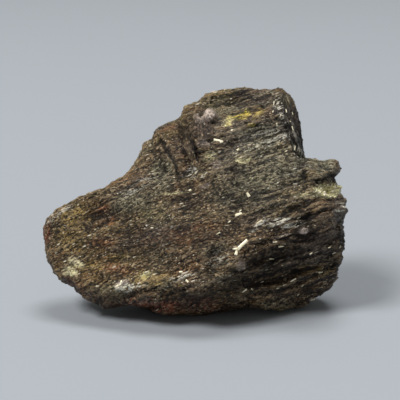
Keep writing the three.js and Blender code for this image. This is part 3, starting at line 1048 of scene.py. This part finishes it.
# %% Pale crystals
# x, y, length and width in pixels, rise in degrees
PALE_CRYSTALS = [
    # the cream bar and its forked end
    (243, 244, 14, 3.2, 42), (235, 249, 7.5, 2.6, -3), (236.5, 252, 6.5, 3, 72),
    # broad face
    (238.5, 214, 8, 3, 20), (248, 194.5, 5.5, 2.8, -58), (218, 140, 8.5, 2.8, -8),
    (221.5, 141.5, 4, 2.4, 15), (214.5, 139, 3, 2.2, -40), (232, 130, 3, 2.4, 0),
    (238, 149.5, 3, 2, 40), (240, 211, 4, 1.4, 40), (229, 222, 4, 1.4, 30),
    (218, 233.5, 5, 1.6, 30), (258, 222.5, 9, 1.4, 33), (190, 190, 3, 1.8, 20),
    (152, 228, 3, 1.8, 0), (181, 272, 4, 2, 10), (187, 281, 3.5, 2, -40),
    (121, 284, 6, 3.4, 70), (125, 287, 5, 2, 20), (117, 286, 4, 2, 30),
    # dark facet of the upper block
    (274, 103, 5, 1.0, 80), (282, 103, 5, 1.0, 30), (286.5, 111.5, 6, 1.0, 95),
    (280, 117, 5, 1.0, 75), (277, 125, 4, 1.2, 100), (292.5, 113, 5, 0.8, 100),
    (293, 129.5, 7, 0.9, 108), (295, 148, 5, 1.2, 80), (286, 151, 3.5, 1.2, 20),
    (299, 153, 5, 1.2, 60), (273, 111, 3, 1.2, 70), (290, 121, 5, 0.8, 115),
    # dark undercut face
    (283, 236, 12, 1.3, 16), (282, 246.5, 7, 1.6, 12), (275, 242, 5, 1, 5), (272, 259, 6, 1, 0),
    (311, 253.5, 4, 1.3, 30), (292, 281, 11, 1.2, 33), (281, 287, 11, 0.9, 24),
    (243.5, 291.5, 8, 1.3, 35), (252.5, 290, 6, 1.2, -57), (303, 285.5, 4, 1.3, 40),
    (298, 295, 3.5, 1.2, 40), (312, 300, 7, 1.8, 8), (315, 225.5, 2, 1.5, 0),
    (322, 272, 8, 1.4, 5), (330, 247, 4, 1, 20), (262, 282, 4, 1, 10),
    # bright patch under the right lobe
    (321, 188, 6, 2.6, 20), (327, 186, 5, 2.6, 60), (331, 192, 7, 3, 10),
    (325, 194, 8, 2.6, 15), (335, 187, 5, 2, 80), (318, 196, 6, 1.6, 10),
    (316, 191, 4, 1.8, 40), (329, 197, 7, 1.6, 8), (323, 192.5, 7, 2.4, 12),
    (319, 193, 5, 2, 20), (334, 190, 6, 2.5, 75), (337, 186, 6, 2.5, 85),
]

pale_prisms = []
for x, y, length, width, rise in PALE_CRYSTALS:
    place, normal = on_stone(x, y)
    if place is None:
        print("no stone is seen at", x, y)
        continue
    long_way = RIGHT * math.cos(math.radians(rise)) + UP * math.sin(math.radians(rise))
    # leaned into the surface along the line of sight, so that it is seen at its own rise
    long_way -= AWAY * (long_way.dot(normal) / min(AWAY.dot(normal), -0.3))
    thickness = 0.5 * width * PIXEL
    pale_prisms.append(prism(place, long_way, normal, length * PIXEL, width * PIXEL, thickness))
pale_crystals = join_prisms("pale_crystals", pale_prisms)

# %% [markdown]
# ## Finish of the pale crystals
#
# They are cream to white, silky, and made of fine grains themselves, so the same grain group gives
# them their shades, their gloss and their slightly uneven faces.

# %% Cream crystal
cream, tree, surface = new_material("cream_crystal")
grain = mineral_grains(tree, size=0.3, stretch=2.0, tilt=0.25, glint=0.2)
colour = tint(tree, grain["Shade"], paint(206, 196, 160), paint(248, 242, 218))
rough = between(tree, grain["Shade"], 0.0, 1.0, 0.25, 0.5)
fill(tree, surface, {"Base Color": colour, "Roughness": rough, "Normal": grain["Normal"]})
pale_crystals.data.materials.append(cream)
count_nodes("cream_crystal", tree)

# %% [markdown]
# ## The blades
#
# Thousands of small amphibole blades stand a hair proud of the broken face. They lie along the
# layers, give or take some 25 degrees, and each catches the light at its own angle. They could be
# painted on, but real ones break the light at the stone's edges too. They are scattered over the
# whole net with repeatable numbers, closest where the rock is torn.

# %% Blades over the whole stone
BLADE_CHANCE = 0.067
ABOVE_GROUND = 0.0012
INSIDE_BOX = 0.0004
SUNK_BY = 0.00005

chances = mixed(np.arange(len(points)), 3, 5, 61)
box_corner = np.array(cad_box[1]) - INSIDE_BOX
wanted = (chances < BLADE_CHANCE * (0.35 + torn)) & (points[:, 2] > ABOVE_GROUND)
wanted &= moved[:, 2] < box_corner[2]
wanted &= (np.abs(moved[:, :2]) < box_corner[:2]).all(axis=1)

normals_now = normals_of(fine_mesh)
along_layers = RIGHT * math.cos(RISE) + UP * math.sin(RISE)
blades = []
shades = []
for index in np.flatnonzero(wanted):
    numbers = [float(mixed(index, seed, 9, 62)) for seed in range(7)]
    normal = Vector(normals_now[index])
    leaning = normal + 0.5 * Vector([number - 0.5 for number in numbers[:3]])
    turned = along_layers + 0.9 * (numbers[3] - 0.5) * normal.cross(along_layers)
    # 0.4 to 1.5 mm long, and most are short
    length = (0.4 + 1.1 * numbers[4] ** 3) / MILLIMETRES
    width = length * (0.2 + 0.2 * numbers[5])
    place = Vector(moved[index]) - normal * SUNK_BY
    blades.append(prism(place, turned, leaning.normalized(), length, width, 0.35 * width))
    shades += [numbers[6]] * PRISM_CORNERS
blade_crystals = join_prisms("blade_crystals", blades)
shade_notes = blade_crystals.data.attributes.new("shade", "FLOAT", "POINT")
shade_notes.data.foreach_set("value", np.array(shades, dtype=np.float32))

# %% [markdown]
# ## Finish of the blades
#
# Each blade keeps a shade of its own, from nearly black to light brown, and the few palest are
# cream. Fine streaks run along them, and they are glossier than the rock around them.

# %% Amphibole blade
blade, tree, surface = new_material("amphibole_blade")
grain = mineral_grains(tree, size=0.5, stretch=2.5, tilt=0.15, glint=0.1)
shade = noted(tree, "shade")
colour = tint(tree, between(tree, shade, 0.0, 0.85), paint(34, 27, 20), paint(112, 98, 72))
colour = tint(tree, between(tree, shade, 0.94, 1.0), colour, paint(196, 186, 160))
streak = streaks(tree, thick=0.15, long=1.5, low=0.35, high=0.65)
colour = tint(tree, times(tree, streak, 0.3), colour, paint(52, 42, 30))
rough = between(tree, grain["Shade"], 0.0, 1.0, 0.22, 0.45)
fill(tree, surface, {"Base Color": colour, "Roughness": rough, "Normal": grain["Normal"]})
surface.inputs["Specular IOR Level"].default_value = 0.6
blade_crystals.data.materials.append(blade)
count_nodes("amphibole_blade", tree)

# %% [markdown]
# ## Floor
#
# The stone stands on a plain, pale blue-grey floor. It is so large that the camera sees no edge.

# %% Floor
FAR = 6
corners = [(-FAR, -FAR, 0), (FAR, -FAR, 0), (FAR, FAR, 0), (-FAR, FAR, 0)]

floor_mesh = bpy.data.meshes.new("floor")
floor_mesh.from_pydata(corners, [], [(0, 1, 2, 3)])
floor = new_object("floor", floor_mesh)
pale_floor, tree, surface = new_material("pale_floor")
inputs = {"Base Color": paint(144, 150, 157), "Roughness": 0.9, "Specular IOR Level": 0.1}
fill(tree, surface, inputs)
floor.data.materials.append(pale_floor)
print("the floor is", 2 * FAR, "metres wide")

# %% [markdown]
# ## Lights and sky
#
# The light is soft and comes from above and from the upper left, which leaves the undercut face
# dark. The sky gives an even glow, so no shadow is black.


# %% Lights and sky
def soft_light(name, place, size, power, colour):
    """A square soft light that shines at the stone."""
    data = bpy.data.lights.new(name, "AREA")
    data.size = size
    data.energy = power
    data.color = colour
    made = new_object(name, data)
    made.location = place
    made.rotation_euler = (aim - Vector(place)).to_track_quat("-Z", "Y").to_euler()
    print(name, "gives", power, "watts")


soft_light("key_light", (-1.5, -1.3, 2.5), 0.9, 105, (1, 0.98, 0.95))
soft_light("top_light", (0.3, 0.3, 3.0), 1.2, 62, (1, 0.99, 0.97))

sky = bpy.data.worlds.new("sky")
sky.use_nodes = True
glow = sky.node_tree.nodes["Background"]
fill(sky.node_tree, glow, {"Color": paint(232, 228, 221), "Strength": 0.36})
scene.world = sky
scene.view_settings.view_transform = "Standard"
